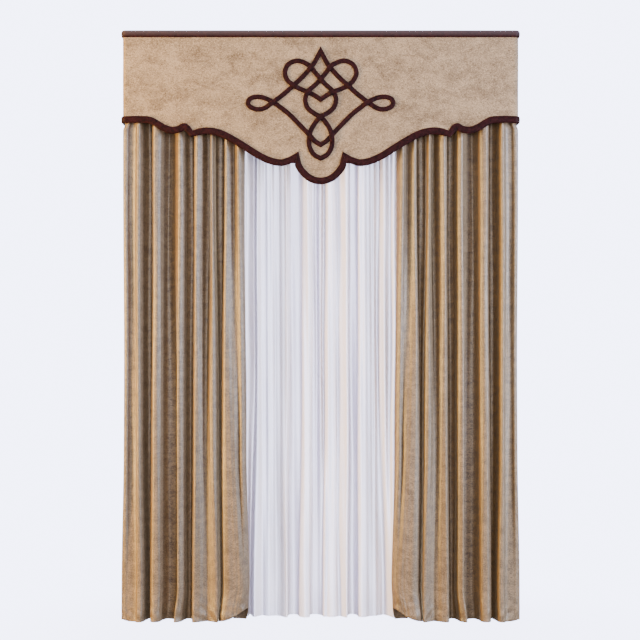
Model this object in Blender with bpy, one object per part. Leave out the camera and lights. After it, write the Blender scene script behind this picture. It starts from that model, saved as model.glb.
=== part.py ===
# Window curtain set: a stiff shaped pelmet with velvet bands and a corded knot, two velvet drapes, one sheer.
# Lengths in the tables are millimetres. X runs along the window, -Y is the room side, Z = 0 is the top.
import math

import bpy
import numpy as np

MM = 0.001

# Overall sizes
HALF_WIDTH = 992.0
FRONT_Y = -100.0
WALL_Y = 97.0
FLOOR_Z = -2963.0
CORNER_RADIUS = 20.0
GAP = 0.3

# Pelmet
BOARD_THICKNESS = 18.0
PANEL_THICKNESS = 6.0
PANEL_TOP = -1.0
PANEL_BACK_Y = 96.5

# Velvet bands on the pelmet's edges
BAND_WIDTH = 35.0
BAND_HEIGHT = 7.5
BAND_COVER = 4.0
TOP_BAND_Z = -18.0

# Corded knot
CORD_WIDTH = 24.0
CORD_HEIGHT = 7.0
CORD_LIFT = 7.4
CORD_RAMP = 18.0
CORD_STEP = 12.0

# Cloth
DRAPE_THICKNESS = 2.2
SHEER_THICKNESS = 1.2
DRAPE_MEAN_Y = -50.0
HEADING_TUCK = 13.0
SHEER_MEAN_Y = 45.0
HEADING_Z = -BOARD_THICKNESS - GAP
HEM_CLEAR = 0.5

# Half section of a band and of a cord: (share of half width, share of height)
BAND_SECTION = [(-1.0, 0.0), (-0.93, 0.48), (-0.58, 0.88), (0.0, 1.0), (0.58, 0.88), (0.93, 0.48), (1.0, 0.0)]
CORD_SECTION = [(-1.0, 0.0), (-0.72, 0.74), (0.0, 1.0), (0.72, 0.74), (1.0, 0.0)]

# Lower edge of the pelmet, left half: band centreline as (x, z)
OUTER_EDGE = [
    (-914, -445.5), (-858, -448.5), (-823, -464.5), (-788, -485.5), (-752.5, -498.5),
    (-724.5, -498.5), (-703.5, -492.5), (-682.5, -482), (-661.5, -496), (-643.3, -517.8),
]
MIDDLE_EDGE = [
    (-643.3, -517.8), (-612.5, -509), (-570.5, -503), (-521, -509), (-472, -528), (-416, -559.5), (-360, -594.5),
    (-303.5, -629.5), (-247.5, -654), (-200, -662.5), (-163.5, -654), (-119, -636.5),
]
CENTRE_EDGE = [(-119, -636.5), (-113.5, -669), (-97.5, -699), (-63, -733.5), (-28.5, -750), (0, -754)]

# Mitred seams where two band pieces meet: upper end and lower end
SIDE_SEAM = ((-639.5, -501.0), (-647.0, -534.5))
LOBE_SEAM = ((-110.5, -606.5), (-127.5, -666.5))

# Knot, left half of the outer cord from the top point to the lower point
OUTER_CORD = [
    (0, -105), (-33, -165.5), (-53, -191.5), (-91, -234), (-133.5, -274.5), (-184, -319), (-237, -360.5),
    (-283, -390), (-319, -395.5), (-352, -383), (-363, -363.5), (-350, -341), (-314.5, -333), (-277, -340.5),
    (-237, -360.5), (-195, -390), (-154, -423), (-110.5, -467), (-59, -521.5), (-30, -553), (0, -573),
]

# Knot, inner cord from the upper V, round the left loop, the right half of the ring and the left of the drop
INNER_CORD = [
    (0, -346.5), (-30, -326), (-64.5, -309), (-99, -295), (-138, -276), (-168, -246), (-178.5, -211.5),
    (-163, -173), (-125, -153.5), (-87.5, -159.5), (-53, -180), (-27, -212), (0, -246), (30, -276),
    (61, -305), (76, -337.5), (74, -368), (59, -395), (30, -417), (0, -434), (-27, -463), (-49, -502),
    (-58, -545), (-54, -586), (-33, -622), (0, -640.5),
]

# Fold sections of the left drape from its outer edge to its inner return: x and forward, at three heights
DRAPE_COLUMNS = ("x_top", "fwd_top", "x_mid", "fwd_mid", "x_low", "fwd_low")
DRAPE_FOLDS = [
    (-992, 16, -989, 18, -1001, 16), (-984, 22, -980, 24, -990, 22), (-966, 6, -962, 6, -968, 12),
    (-942, 16, -938, 18, -944, 22), (-920, 34, -919, 36, -912, 36), (-904, 22, -902, 24, -892, 30),
    (-887, -16, -885, -14, -881, -10), (-864, -33, -866, -33, -868, -34), (-838, -16, -847, -15, -852, -16),
    (-843, 16, -850, 16, -855, 16), (-829, 35, -834, 35, -835, 35), (-802, 24, -807, 24, -807, 27),
    (-786, -16, -791, -14, -793, -6), (-766, -32, -765, -32, -766, -32), (-738, -12, -722, -18, -726, -14),
    (-712, 29, -718, 31, -718, 32), (-689, 16, -689, 18, -689, 18), (-674, -22, -676, -22, -675, -22),
    (-648, -34, -656, -34, -660, -34), (-628, -13, -637, -13, -640, -13), (-634, 15, -642, 15, -644, 15),
    (-619, 34, -628, 34, -636, 34), (-596, 12, -603, 22, -606, 26), (-580, -14, -585, 5, -575, 15),
    (-564, -20, -570, 8, -556, 20), (-553, 13, -555, 24, -538, 28), (-545, 33, -539, 34, -519, 34),
    (-533, 16, -521, 20, -511, 20), (-525, -22, -514, -22, -507, -22), (-500, -34, -507, -34, -502, -34),
    (-479, -15, -495, -15, -490, -15), (-483, 14, -498, 15, -493, 15), (-473, 29, -477, 33, -466, 34),
    (-451, 10, -447, 31, -431, 34), (-438, 2, -424, 25, -406, 31), (-425, 18, -410, 13, -389, 26),
    (-411, 33, -398, 22, -375, 20), (-394, 22, -384, 14, -363, 8), (-383, 0, -376, -4, -356, -6),
    (-388, -20, -382, -22, -366, -22), (-414, -32, -408, -33, -396, -34), (-452, -36, -448, -37, -442, -38),
]

# Heights between which the three fold sections are blended
TOP_FOLDS_Z = -900.0
MID_FOLDS_Z = -2100.0
LOW_FOLDS_Z = -2860.0

# Sheer folds where they show between the drapes: x and forward, high up and at the hem
SHEER_COLUMNS = ("x_top", "fwd_top", "x_low", "fwd_low")
SHEER_FOLDS = [
    (-384, 6, -384, 6), (-372, 6, -372, 6), (-341, -16, -362, -16), (-323, 14, -336, 14),
    (-295, -2, -300, -2), (-259, 4, -269, 4), (-223, -2, -223, -2), (-187, 15, -187, 15),
    (-171, 20, -171, 20), (-164, -8, -163, -8), (-136, -15, -141, -15), (-100, -8, -116, -8),
    (-88, 10, -108, 10), (-70, 19, -85, 19), (-48, 14, -59, 15), (-41, -8, -54, -8),
    (-18, -14, -26, -15), (-1, 3, 2, -10), (15, -12, 9, -2), (30, 8, 17, 13), (48, 15, 28, 10),
    (79, 4, 63, 15), (92, 0, 94, 6), (120, 17, 120, 16), (138, 20, 136, 20), (145, -8, 143, -8),
    (166, -16, 166, -15), (185, -4, 186, -4), (192, 12, 193, 12), (217, 17, 220, 17),
    (256, 4, 256, 6), (276, 0, 284, 2), (294, -10, 304, -6), (307, 6, 325, -10), (330, 14, 345, 4),
    (353, 0, 361, 14), (376, 14, 376, 17),
]
SHEER_FULLNESS = 1.55
SHEER_EDGE_X = 962.0
SHEER_PLAIN_PITCH = 84.0
SHEER_PLAIN_DEPTH = 17.0

# Heights of the rows of the cloth meshes
DRAPE_ROWS = [HEADING_Z, -466, -530, -900, -1400, -1800, -2150, -2500, -2740, -2860, -2925, FLOOR_Z]
SHEER_ROWS = [HEADING_Z, -600, -1200, -1800, -2350, -2750, FLOOR_Z]

# Colours: base colour, roughness
FINISHES = {
    "pelmet_velvet": ((0.60, 0.47, 0.33), 0.8),
    "band_velvet": ((0.045, 0.012, 0.014), 0.75),
    "drape_velvet": ((0.32, 0.24, 0.16), 0.7),
    "sheer_voile": ((0.80, 0.80, 0.82), 0.8),
    "painted_board": ((0.70, 0.66, 0.60), 0.6),
}


def clear_scene():
    for item in list(bpy.data.objects):
        bpy.data.objects.remove(item, do_unlink=True)


def finish(name):
    """The named material, made once."""
    if name in bpy.data.materials:
        return bpy.data.materials[name]
    colour, roughness = FINISHES[name]
    material = bpy.data.materials.new(name)
    material.use_nodes = True
    shader = material.node_tree.nodes["Principled BSDF"]
    shader.inputs["Base Color"].default_value = (*colour, 1.0)
    shader.inputs["Roughness"].default_value = roughness
    shader.inputs["Metallic"].default_value = 0.0
    return material


def add_solid(name, points_mm, faces, material, smooth=True):
    mesh = bpy.data.meshes.new(name)
    mesh.from_pydata([tuple(float(c) * MM for c in p) for p in points_mm], [], faces)
    mesh.polygons.foreach_set("use_smooth", [smooth] * len(mesh.polygons))
    mesh.materials.append(finish(material))
    mesh.update()
    body = bpy.data.objects.new(name, mesh)
    bpy.context.scene.collection.objects.link(body)
    return body


def catmull(points, u):
    """Point at station number u of a curve through the points, which bends smoothly at each of them."""
    last = len(points) - 1
    i = min(int(u), last - 1)
    t = u - i
    b = points[i]
    c = points[i + 1]
    a = points[i - 1] if i > 0 else 2 * b - c
    d = points[i + 2] if i + 2 <= last else 2 * c - b
    return 0.5 * (2 * b + (c - a) * t + (2 * a - 5 * b + 4 * c - d) * t**2 + (3 * b - a - 3 * c + d) * t**3)


def smooth_path(points, per_span=12):
    """The curve through the points as a dense polyline."""
    points = np.array(points, float)
    count = (len(points) - 1) * per_span + 1
    return np.array([catmull(points, k / per_span) for k in range(count)])


def lengths_along(path):
    steps = np.linalg.norm(np.diff(path, axis=0), axis=1)
    return np.concatenate([[0.0], np.cumsum(steps)])


def at_lengths(path, wanted):
    along = lengths_along(path)
    return np.stack([np.interp(wanted, along, path[:, k]) for k in range(path.shape[1])], axis=1)


def even_lengths(start, end, step):
    return np.linspace(start, end, max(2, int(round((end - start) / step)) + 1))


def mirrored(points):
    """The points reflected in the plane x = 0, in reverse order."""
    flipped = np.array(points, float)[::-1].copy()
    flipped[:, 0] *= -1
    return flipped


# Pelmet surface
FLAT_HALF = HALF_WIDTH - CORNER_RADIUS
CORNER_LENGTH = CORNER_RADIUS * math.pi / 2
RETURN_END = FLAT_HALF + CORNER_LENGTH + (PANEL_BACK_Y - FRONT_Y - CORNER_RADIUS)


def wrapped(s, out, z):
    """The place at unfolded length s along the pelmet's face, standing out from it, at height z."""
    side = -1.0 if s < 0 else 1.0
    past = abs(s) - FLAT_HALF
    if past <= 0:
        return (s, FRONT_Y - out, z)
    if past < CORNER_LENGTH:
        turn = past / CORNER_RADIUS
        reach = CORNER_RADIUS + out
        x = FLAT_HALF + reach * math.sin(turn)
        return (side * x, FRONT_Y + CORNER_RADIUS - reach * math.cos(turn), z)
    return (side * (HALF_WIDTH + out), FRONT_Y + CORNER_RADIUS + past - CORNER_LENGTH, z)


def loft(rings, closed_loop=False):
    """Points and faces of a body through rings of equal point count, with capped ends unless it closes."""
    count = len(rings[0])
    points = [p for ring in rings for p in ring]
    faces = []
    spans = len(rings) if closed_loop else len(rings) - 1
    for i in range(spans):
        a = i * count
        b = ((i + 1) % len(rings)) * count
        for j in range(count):
            k = (j + 1) % count
            faces.append((a + j, a + k, b + k, b + j))
    if not closed_loop:
        faces.append(tuple(range(count))[::-1])
        faces.append(tuple(range((len(rings) - 1) * count, len(rings) * count)))
    return points, faces


def trim_rings(path, across, section, width, height, lift=None):
    """Section rings along a flat path (s, z). across holds the direction and stretch of each section's width."""
    rings = []
    for k, (centre, side) in enumerate(zip(path, across)):
        up = 0.0 if lift is None else lift[k]
        ring = []
        for share, rise in section:
            place = centre + side * share * width / 2
            ring.append(wrapped(place[0], GAP + up + rise * height, place[1]))
        rings.append(ring)
    return rings


def mitred_sides(path, closed_loop=False):
    """For each path point the direction across it, stretched so that straight edges meet at a corner."""
    count = len(path)
    sides = []
    for i in range(count):
        before = path[i] - path[i - 1] if i > 0 or closed_loop else path[i + 1] - path[i]
        after = path[(i + 1) % count] - path[i] if i < count - 1 or closed_loop else before
        before = before / np.linalg.norm(before)
        after = after / np.linalg.norm(after)
        middle = (before + after) / np.linalg.norm(before + after)
        across = np.array([middle[1], -middle[0]])
        sides.append(across / max(0.35, float(np.dot(middle, after))))
    return np.array(sides)


# Bottom edge
def edge_path():
    """The whole centreline of the bottom bands from return to return, as (s, z)."""
    start = np.array([[-RETURN_END, -447.0], [-FLAT_HALF - CORNER_LENGTH, -447.0]])
    left = np.vstack([start, smooth_path(OUTER_EDGE), smooth_path(MIDDLE_EDGE), smooth_path(CENTRE_EDGE + [
        (-x, z) for x, z in CENTRE_EDGE[-2::-1]])])
    right = mirrored(np.vstack([start, smooth_path(OUTER_EDGE), smooth_path(MIDDLE_EDGE)]))
    return np.vstack([left, right])


def panel_floor(path):
    """Unfolded lower edge of the panel: just above the lower edge of the bands, so that they cover it."""
    reach = BAND_WIDTH / 2 - BAND_COVER
    dense = at_lengths(path, even_lengths(0, lengths_along(path)[-1], 1.5))
    stations = np.arange(-RETURN_END, RETURN_END + 0.5, 1.0)
    stations[-1] = RETURN_END
    heights = []
    for s in stations:
        off = dense[:, 0] - s
        near = np.abs(off) < reach
        heights.append(np.min(dense[near, 1] - np.sqrt(reach**2 - off[near] ** 2)))
    return np.stack([stations, heights], axis=1)


def simplified(path, tolerance):
    """The polyline with the points left out that lie within tolerance of it."""
    keep = {0, len(path) - 1}
    spans = [(0, len(path) - 1)]
    while spans:
        a, b = spans.pop()
        if b - a < 2:
            continue
        line = path[b] - path[a]
        off = path[a + 1 : b] - path[a]
        far = np.abs(off[:, 0] * line[1] - off[:, 1] * line[0]) / np.linalg.norm(line)
        worst = int(np.argmax(far))
        if far[worst] > tolerance:
            keep.add(a + 1 + worst)
            spans += [(a, a + 1 + worst), (a + 1 + worst, b)]
    return path[sorted(keep)]


def build_panel(path):
    edge = simplified(panel_floor(path), 1.0)
    extra = [side * (FLAT_HALF + CORNER_LENGTH * k / 4) for side in (-1, 1) for k in range(5)]
    stations = sorted(set(np.round(edge[:, 0], 3)) | set(np.round(extra, 3)))
    rings = []
    for s in stations:
        low = float(np.interp(s, edge[:, 0], edge[:, 1]))
        inner = wrapped(s, -PANEL_THICKNESS, 0)
        outer = wrapped(s, 0.0, 0)
        rings.append([(*outer[:2], PANEL_TOP), (*outer[:2], low), (*inner[:2], low), (*inner[:2], PANEL_TOP)])
    points, faces = loft(rings)
    add_solid("pelmet_panel", points, faces, "pelmet_velvet", smooth=False)


def build_board():
    half = HALF_WIDTH - PANEL_THICKNESS - GAP
    front = FRONT_Y + PANEL_THICKNESS + GAP
    cut = CORNER_RADIUS - PANEL_THICKNESS
    arc = [math.radians(a) for a in (0, 22.5, 45, 67.5, 90)]
    outline = [(half, WALL_Y), (-half, WALL_Y)]
    outline += [(-half + cut - cut * math.cos(a), front + cut - cut * math.sin(a)) for a in arc]
    outline += [(half - cut + cut * math.sin(a), front + cut - cut * math.cos(a)) for a in arc]
    lower = [(x, y, -BOARD_THICKNESS) for x, y in outline]
    upper = [(x, y, 0.0) for x, y in outline]
    points, faces = loft([upper, lower])
    add_solid("pelmet_board", points, faces, "painted_board", smooth=False)


def build_top_band():
    stations = [RETURN_END, FLAT_HALF + CORNER_LENGTH]
    stations += [FLAT_HALF + CORNER_LENGTH * k / 4 for k in (3, 2, 1, 0)]
    half = [(-s, TOP_BAND_Z) for s in stations] + [(s, TOP_BAND_Z) for s in (-700.0, -350.0, 0.0)]
    path = np.vstack([half, mirrored(half)[1:]])
    rings = trim_rings(path, mitred_sides(path), BAND_SECTION, BAND_WIDTH, BAND_HEIGHT)
    add_solid("top_band", *loft(rings), "band_velvet")


def band_piece(name, curve, start_seam, end_seam, step=24.0, side=1):
    """One bottom band piece along the curve, cut at its seams, with half the gap at each. side -1 mirrors it."""
    dense = np.array(curve, float)
    total = lengths_along(dense)[-1]
    clear = BAND_WIDTH * 0.95
    first = clear if start_seam else 0.0
    last = total - clear if end_seam else total
    wanted = even_lengths(first, last, step)
    wanted = [0.0, *wanted] if start_seam else list(wanted)
    wanted = [*wanted, total] if end_seam else wanted
    if not (start_seam and end_seam):
        corner = [RETURN_END - FLAT_HALF - CORNER_LENGTH * (4 - k) / 4 for k in range(5)]
        wanted = [w for w in wanted if w < corner[0] - 5 or w > corner[-1] + 5] + corner
        wanted = sorted(set(wanted))
    path = at_lengths(dense, wanted)
    sides = mitred_sides(path)
    for index, seam, inward in ((0, start_seam, 1), (-1, end_seam, -1)):
        if not seam:
            continue
        upper = np.array(seam[0])
        lower = np.array(seam[1])
        along = (lower - upper) / np.linalg.norm(lower - upper)
        normal = np.array([-along[1], along[0]])
        toward = path[1] - path[0] if index == 0 else path[-2] - path[-1]
        normal *= math.copysign(1.0, float(np.dot(normal, toward)))
        path[index] = (upper + lower) / 2 + normal * GAP * 0.6
        sides[index] = (lower - upper) / BAND_WIDTH
    if side < 0:
        path = mirrored(path)
        sides = sides[::-1] * np.array([-1.0, 1.0])
    rings = trim_rings(path, sides, BAND_SECTION, BAND_WIDTH, BAND_HEIGHT)
    add_solid(name, *loft(rings), "band_velvet")


def build_bottom_bands():
    start = [(-RETURN_END, -447.0), (-FLAT_HALF - CORNER_LENGTH, -447.0), (-FLAT_HALF, -447.0)]
    outer = np.vstack([start, smooth_path(OUTER_EDGE)])
    middle = smooth_path(MIDDLE_EDGE)
    centre = CENTRE_EDGE + [(-x, z) for x, z in CENTRE_EDGE[-2::-1]]
    far_seam = tuple((-x, z) for x, z in LOBE_SEAM)
    band_piece("bottom_band_left_outer", outer, None, SIDE_SEAM)
    band_piece("bottom_band_left_middle", middle, SIDE_SEAM, LOBE_SEAM)
    band_piece("bottom_band_centre", smooth_path(centre), LOBE_SEAM, far_seam, step=20.0)
    band_piece("bottom_band_right_middle", middle, SIDE_SEAM, LOBE_SEAM, side=-1)
    band_piece("bottom_band_right_outer", outer, None, SIDE_SEAM, side=-1)


# Knot
def crossings(path_a, path_b):
    """Where the closed polylines cross: (length on a, length on b, sine and cosine of the crossing angle)."""
    same = path_a is path_b
    along_a = lengths_along(np.vstack([path_a, path_a[:1]]))
    along_b = lengths_along(np.vstack([path_b, path_b[:1]]))
    runs = np.roll(path_b, -1, axis=0) - path_b
    found = []
    for i, start in enumerate(path_a):
        step = path_a[(i + 1) % len(path_a)] - start
        cross = step[0] * runs[:, 1] - step[1] * runs[:, 0]
        sizes = np.linalg.norm(step) * np.linalg.norm(runs, axis=1)
        safe = np.where(np.abs(cross) < 0.1 * sizes, np.nan, cross)
        off = path_b - start
        t = (off[:, 0] * runs[:, 1] - off[:, 1] * runs[:, 0]) / safe
        u = (off[:, 0] * step[1] - off[:, 1] * step[0]) / safe
        for j in np.nonzero((t > -1e-6) & (t < 1 + 1e-6) & (u > -1e-6) & (u < 1 + 1e-6))[0]:
            size = sizes[j]
            place_a = along_a[i] + t[j] * np.linalg.norm(step)
            place_b = along_b[j] + u[j] * np.linalg.norm(runs[j])
            if same and place_b - place_a < 40 or same and along_a[-1] - place_b + place_a < 40:
                continue
            if any(abs(place_a - a) < 4 and abs(place_b - b) < 4 for a, b, _, _ in found):
                continue
            found.append((place_a, place_b, abs(cross[j]) / size, abs(float(np.dot(step, runs[j]))) / size))
    return found


def cord_rings(path, passes, first_over):
    """Rings of a closed cord that goes over and under in turn at its passes (length, sine, cosine)."""
    closed = np.vstack([path, path[:1]])
    total = lengths_along(closed)[-1]
    passes = sorted(passes)
    over = [p for k, p in enumerate(passes) if (k % 2 == 0) == first_over]
    wanted = list(even_lengths(0, total, CORD_STEP)[:-1])
    corners = corner_lengths(closed)
    wanted = [w for w in wanted if all(min(abs(w - c), total - abs(w - c)) > clear for c, clear in corners)]
    wanted = sorted(wanted + [c for c, _ in corners if c < total - 1])
    places = at_lengths(closed, wanted)
    lift = []
    for w in wanted:
        rise = 0.0
        for length, sine, cosine in over:
            away = min(abs(w - length), total - abs(w - length))
            flat = CORD_WIDTH / 2 * (1 + cosine) / sine + 1.5
            slope = min(1.0, max(0.0, (flat + CORD_RAMP - away) / CORD_RAMP))
            rise = max(rise, slope * slope * (3 - 2 * slope))
        lift.append(rise * CORD_LIFT)
    return trim_rings(places, mitred_sides(places, True), CORD_SECTION, CORD_WIDTH, CORD_HEIGHT, lift)


def corner_lengths(closed):
    """Where the closed path has a sharp corner, and how much length around it the mitre needs."""
    along = lengths_along(closed)
    steps = np.diff(closed, axis=0)
    before = np.vstack([steps[-1:], steps[:-1]])
    turn = np.arccos(np.clip(np.sum(before * steps, axis=1)
                             / np.linalg.norm(before, axis=1) / np.linalg.norm(steps, axis=1), -1, 1))
    sharp = np.nonzero(turn > math.radians(30))[0]
    return [(float(along[k]), CORD_WIDTH / 2 * math.tan(turn[k] / 2) + 4.0) for k in sharp]


def knot_paths():
    """Both cords as closed polylines: each half path and its mirror image."""
    outer_left = smooth_path(OUTER_CORD)
    inner_left = smooth_path(INNER_CORD)
    outer = np.vstack([outer_left, mirrored(outer_left)[1:-1]])
    inner = np.vstack([inner_left, mirrored(inner_left)[1:-1]])
    return outer, inner


def build_knot():
    outer, inner = knot_paths()
    between = crossings(outer, inner)
    outer_self = crossings(outer, outer)
    inner_self = crossings(inner, inner)
    print("knot crossings:", len(between), len(outer_self), len(inner_self))
    outer_passes = [(a, s, c) for a, _, s, c in between]
    outer_passes += [(k[n], k[2], k[3]) for k in outer_self for n in (0, 1)]
    inner_passes = [(b, s, c) for _, b, s, c in between]
    inner_passes += [(k[n], k[2], k[3]) for k in inner_self for n in (0, 1)]
    add_solid("knot_cord_outer", *loft(cord_rings(outer, outer_passes, True), True), "band_velvet")
    add_solid("knot_cord_inner", *loft(cord_rings(inner, inner_passes, False), True), "band_velvet")


# Cloth
def eased(value, low, high):
    t = min(1.0, max(0.0, (value - low) / (high - low)))
    return t * t * (3 - 2 * t)


def drape_section(z):
    """Fold stations (x, forward) of the left drape at height z."""
    table = {name: np.array(column, float) for name, column in zip(DRAPE_COLUMNS, zip(*DRAPE_FOLDS))}
    middle = eased(z, TOP_FOLDS_Z, MID_FOLDS_Z)
    low = eased(z, MID_FOLDS_Z, LOW_FOLDS_Z)
    x = table["x_top"] + middle * (table["x_mid"] - table["x_top"]) + low * (table["x_low"] - table["x_mid"])
    fwd = table["fwd_top"] + middle * (table["fwd_mid"] - table["fwd_top"])
    fwd = fwd + low * (table["fwd_low"] - table["fwd_mid"])
    return np.stack([x, fwd], axis=1)


def drape_surface(stations):
    """Grid of points of the left drape's middle surface, a row for each height."""
    rows = []
    for z in DRAPE_ROWS:
        section = drape_section(z)
        row = []
        for u in stations:
            x, fwd = catmull(section, u)
            near_floor = eased(z, -2800, FLOOR_Z)
            lean = math.exp(-(((u - 33) / 4.5) ** 2)) * 22 + math.exp(-(((u - 15) / 2.5) ** 2)) * 16
            kick = 10 * near_floor * max(0.0, fwd) / 35
            lift = 62 * eased(u, 30.5, 37.5) * (1 - eased(u, 38.2, 39.4))
            curl = 10 * (1 - eased(u, 0, 2.5))
            raised = max(lift, curl) * eased(z, -2560, FLOOR_Z)
            tuck = HEADING_TUCK * (1 - eased(-z, 466, 520)) * (1 - eased(u, 0.5, 4.5))
            x += tuck - lean * near_floor
            row.append((x, DRAPE_MEAN_Y - fwd - kick, z + raised))
        rows.append(row)
    grid = np.array(rows)
    grid[..., 2] = np.maximum(grid[..., 2], FLOOR_Z + HEM_CLEAR)
    return grid


def plain_folds(start, end, pitch, depth):
    """Stations of plain even folds, for the part of the sheer that the drapes hide: two to a fold."""
    count = int(round(abs(end - start) / pitch * 2))
    rows = []
    for k in range(count + 1):
        x = start + (end - start) * k / count
        fwd = depth * (1 if k % 2 else -1) * (1.0 - 0.12 * math.sin(2.4 * k))
        rows.append((x, fwd, x, fwd))
    return rows


def sheer_stations():
    left = plain_folds(-SHEER_EDGE_X, -414.0, SHEER_PLAIN_PITCH, SHEER_PLAIN_DEPTH)
    right = plain_folds(414.0, SHEER_EDGE_X, SHEER_PLAIN_PITCH, SHEER_PLAIN_DEPTH)
    return left + SHEER_FOLDS + right


def sheer_surface(stations):
    table = dict(zip(SHEER_COLUMNS, np.array(sheer_stations(), float).T))
    rows = []
    for z in SHEER_ROWS:
        low = eased(z, -1600, -2900)
        x = table["x_top"] + low * (table["x_low"] - table["x_top"])
        fwd = table["fwd_top"] + low * (table["fwd_low"] - table["fwd_top"])
        section = np.stack([x, fwd], axis=1)
        row = [catmull(section, u) for u in stations]
        rows.append([(p[0], SHEER_MEAN_Y - SHEER_FULLNESS * p[1], max(z, FLOOR_Z + HEM_CLEAR)) for p in row])
    return np.array(rows)


def grid_normals(grid):
    across = np.gradient(grid, axis=1)
    down = np.gradient(grid, axis=0)
    normal = np.cross(across, down)
    return normal / np.linalg.norm(normal, axis=2, keepdims=True)


def cloth_solid(name, grid, thickness, material):
    """A closed sheet: the grid moved half the thickness each way, joined round its edges."""
    normal = grid_normals(grid)
    normal[0, :, 2] = 0
    normal[-1, :, 2] = 0
    front = grid + normal * thickness / 2
    back = grid - normal * thickness / 2
    rows, columns = grid.shape[:2]
    count = rows * columns
    points = np.vstack([front.reshape(-1, 3), back.reshape(-1, 3)])
    faces = []
    for i in range(rows - 1):
        for j in range(columns - 1):
            a = i * columns + j
            quad = (a, a + columns, a + columns + 1, a + 1)
            faces.append(quad[::-1])
            faces.append(tuple(count + k for k in quad))
    rim = [j for j in range(columns)]
    rim += [i * columns + columns - 1 for i in range(1, rows)]
    rim += [(rows - 1) * columns + j for j in range(columns - 2, -1, -1)]
    rim += [i * columns for i in range(rows - 2, 0, -1)]
    for k, a in enumerate(rim):
        b = rim[(k + 1) % len(rim)]
        faces.append((a, a + count, b + count, b))
    return add_solid(name, points, faces, material)


def half_steps(count):
    """Station numbers of a cloth mesh: each fold section and the middle between it and the next."""
    return [k / 2 for k in range(2 * count - 1)]


def build_drapes():
    left = drape_surface(half_steps(len(DRAPE_FOLDS)))
    cloth_solid("drape_left", left, DRAPE_THICKNESS, "drape_velvet")
    right = left[:, ::-1].copy()
    right[..., 0] *= -1
    cloth_solid("drape_right", right, DRAPE_THICKNESS, "drape_velvet")


def build_sheer():
    surface = sheer_surface(half_steps(len(sheer_stations())))
    cloth_solid("sheer", surface, SHEER_THICKNESS, "sheer_voile")


def check_outward():
    """Turns round any body whose faces point inwards."""
    for item in bpy.data.objects:
        mesh = item.data
        mesh.calc_loop_triangles()
        volume = 0.0
        for triangle in mesh.loop_triangles:
            a, b, c = (mesh.vertices[v].co for v in triangle.vertices)
            volume += a.dot(b.cross(c)) / 6
        if volume < 0:
            mesh.flip_normals()
        print(item.name, len(mesh.loop_triangles), "triangles", round(abs(volume) * 1e6), "cm3")


clear_scene()
build_board()
build_panel(edge_path())
build_top_band()
build_bottom_bands()
build_knot()
build_drapes()
build_sheer()
check_outward()
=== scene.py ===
# %% [markdown]
# # A dressed window: pelmet, velvet drapes and a sheer
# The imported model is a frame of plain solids. This file dresses it: each cloth piece is laid again with fine
# folds and a real finish, in the place that its solid holds.

# %% Load the frame
import math

import bpy
import numpy as np
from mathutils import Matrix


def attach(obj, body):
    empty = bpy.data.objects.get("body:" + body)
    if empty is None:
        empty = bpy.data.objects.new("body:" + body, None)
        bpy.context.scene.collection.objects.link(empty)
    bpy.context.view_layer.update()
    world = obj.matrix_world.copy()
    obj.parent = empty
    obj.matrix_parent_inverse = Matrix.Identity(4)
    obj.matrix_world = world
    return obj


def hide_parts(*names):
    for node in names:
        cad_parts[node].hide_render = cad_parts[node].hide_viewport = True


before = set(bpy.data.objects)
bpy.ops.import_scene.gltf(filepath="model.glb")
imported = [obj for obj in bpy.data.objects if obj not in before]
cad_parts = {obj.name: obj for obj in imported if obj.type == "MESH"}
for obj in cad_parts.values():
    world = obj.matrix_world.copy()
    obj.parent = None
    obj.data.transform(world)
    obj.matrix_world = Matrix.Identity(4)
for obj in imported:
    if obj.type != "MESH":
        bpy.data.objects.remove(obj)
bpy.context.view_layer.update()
MM = 0.001

# %% [markdown]
# ## Camera
# The photograph looks at the window square on from about six metres, at half the height of the curtains. A
# long lens keeps the sides of the pelmet upright.

# %% Camera
CAMERA_DISTANCE = 6.0
PELMET_FRONT_Y = -0.100
EYE_X = -0.003
EYE_Z = -1.449
LENS_MM = 67.5
SENSOR_MM = 36.0
VIEW_END = 60.0


def add_object(name, data):
    """A new object with this data, linked to the scene."""
    item = bpy.data.objects.new(name, data)
    bpy.context.scene.collection.objects.link(item)
    return item


lens = bpy.data.cameras.new("Window camera")
lens.sensor_width = SENSOR_MM
lens.lens = LENS_MM
lens.clip_end = VIEW_END
camera = add_object("Window camera", lens)
camera.location = (EYE_X, PELMET_FRONT_Y - CAMERA_DISTANCE, EYE_Z)
camera.rotation_euler = (math.radians(90), 0, 0)
bpy.context.scene.camera = camera
print("camera", tuple(round(v, 3) for v in camera.location), "lens", lens.lens, "mm")

# %% [markdown]
# ## Light
# The folds read because light comes from the two sides: warm from the left, a little cooler from the right.
# Two tall soft boxes do that. Three weaker ones in front keep the pelmet's face from going grey, one above
# catches the tops of the bands, and two behind light the back.

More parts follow.
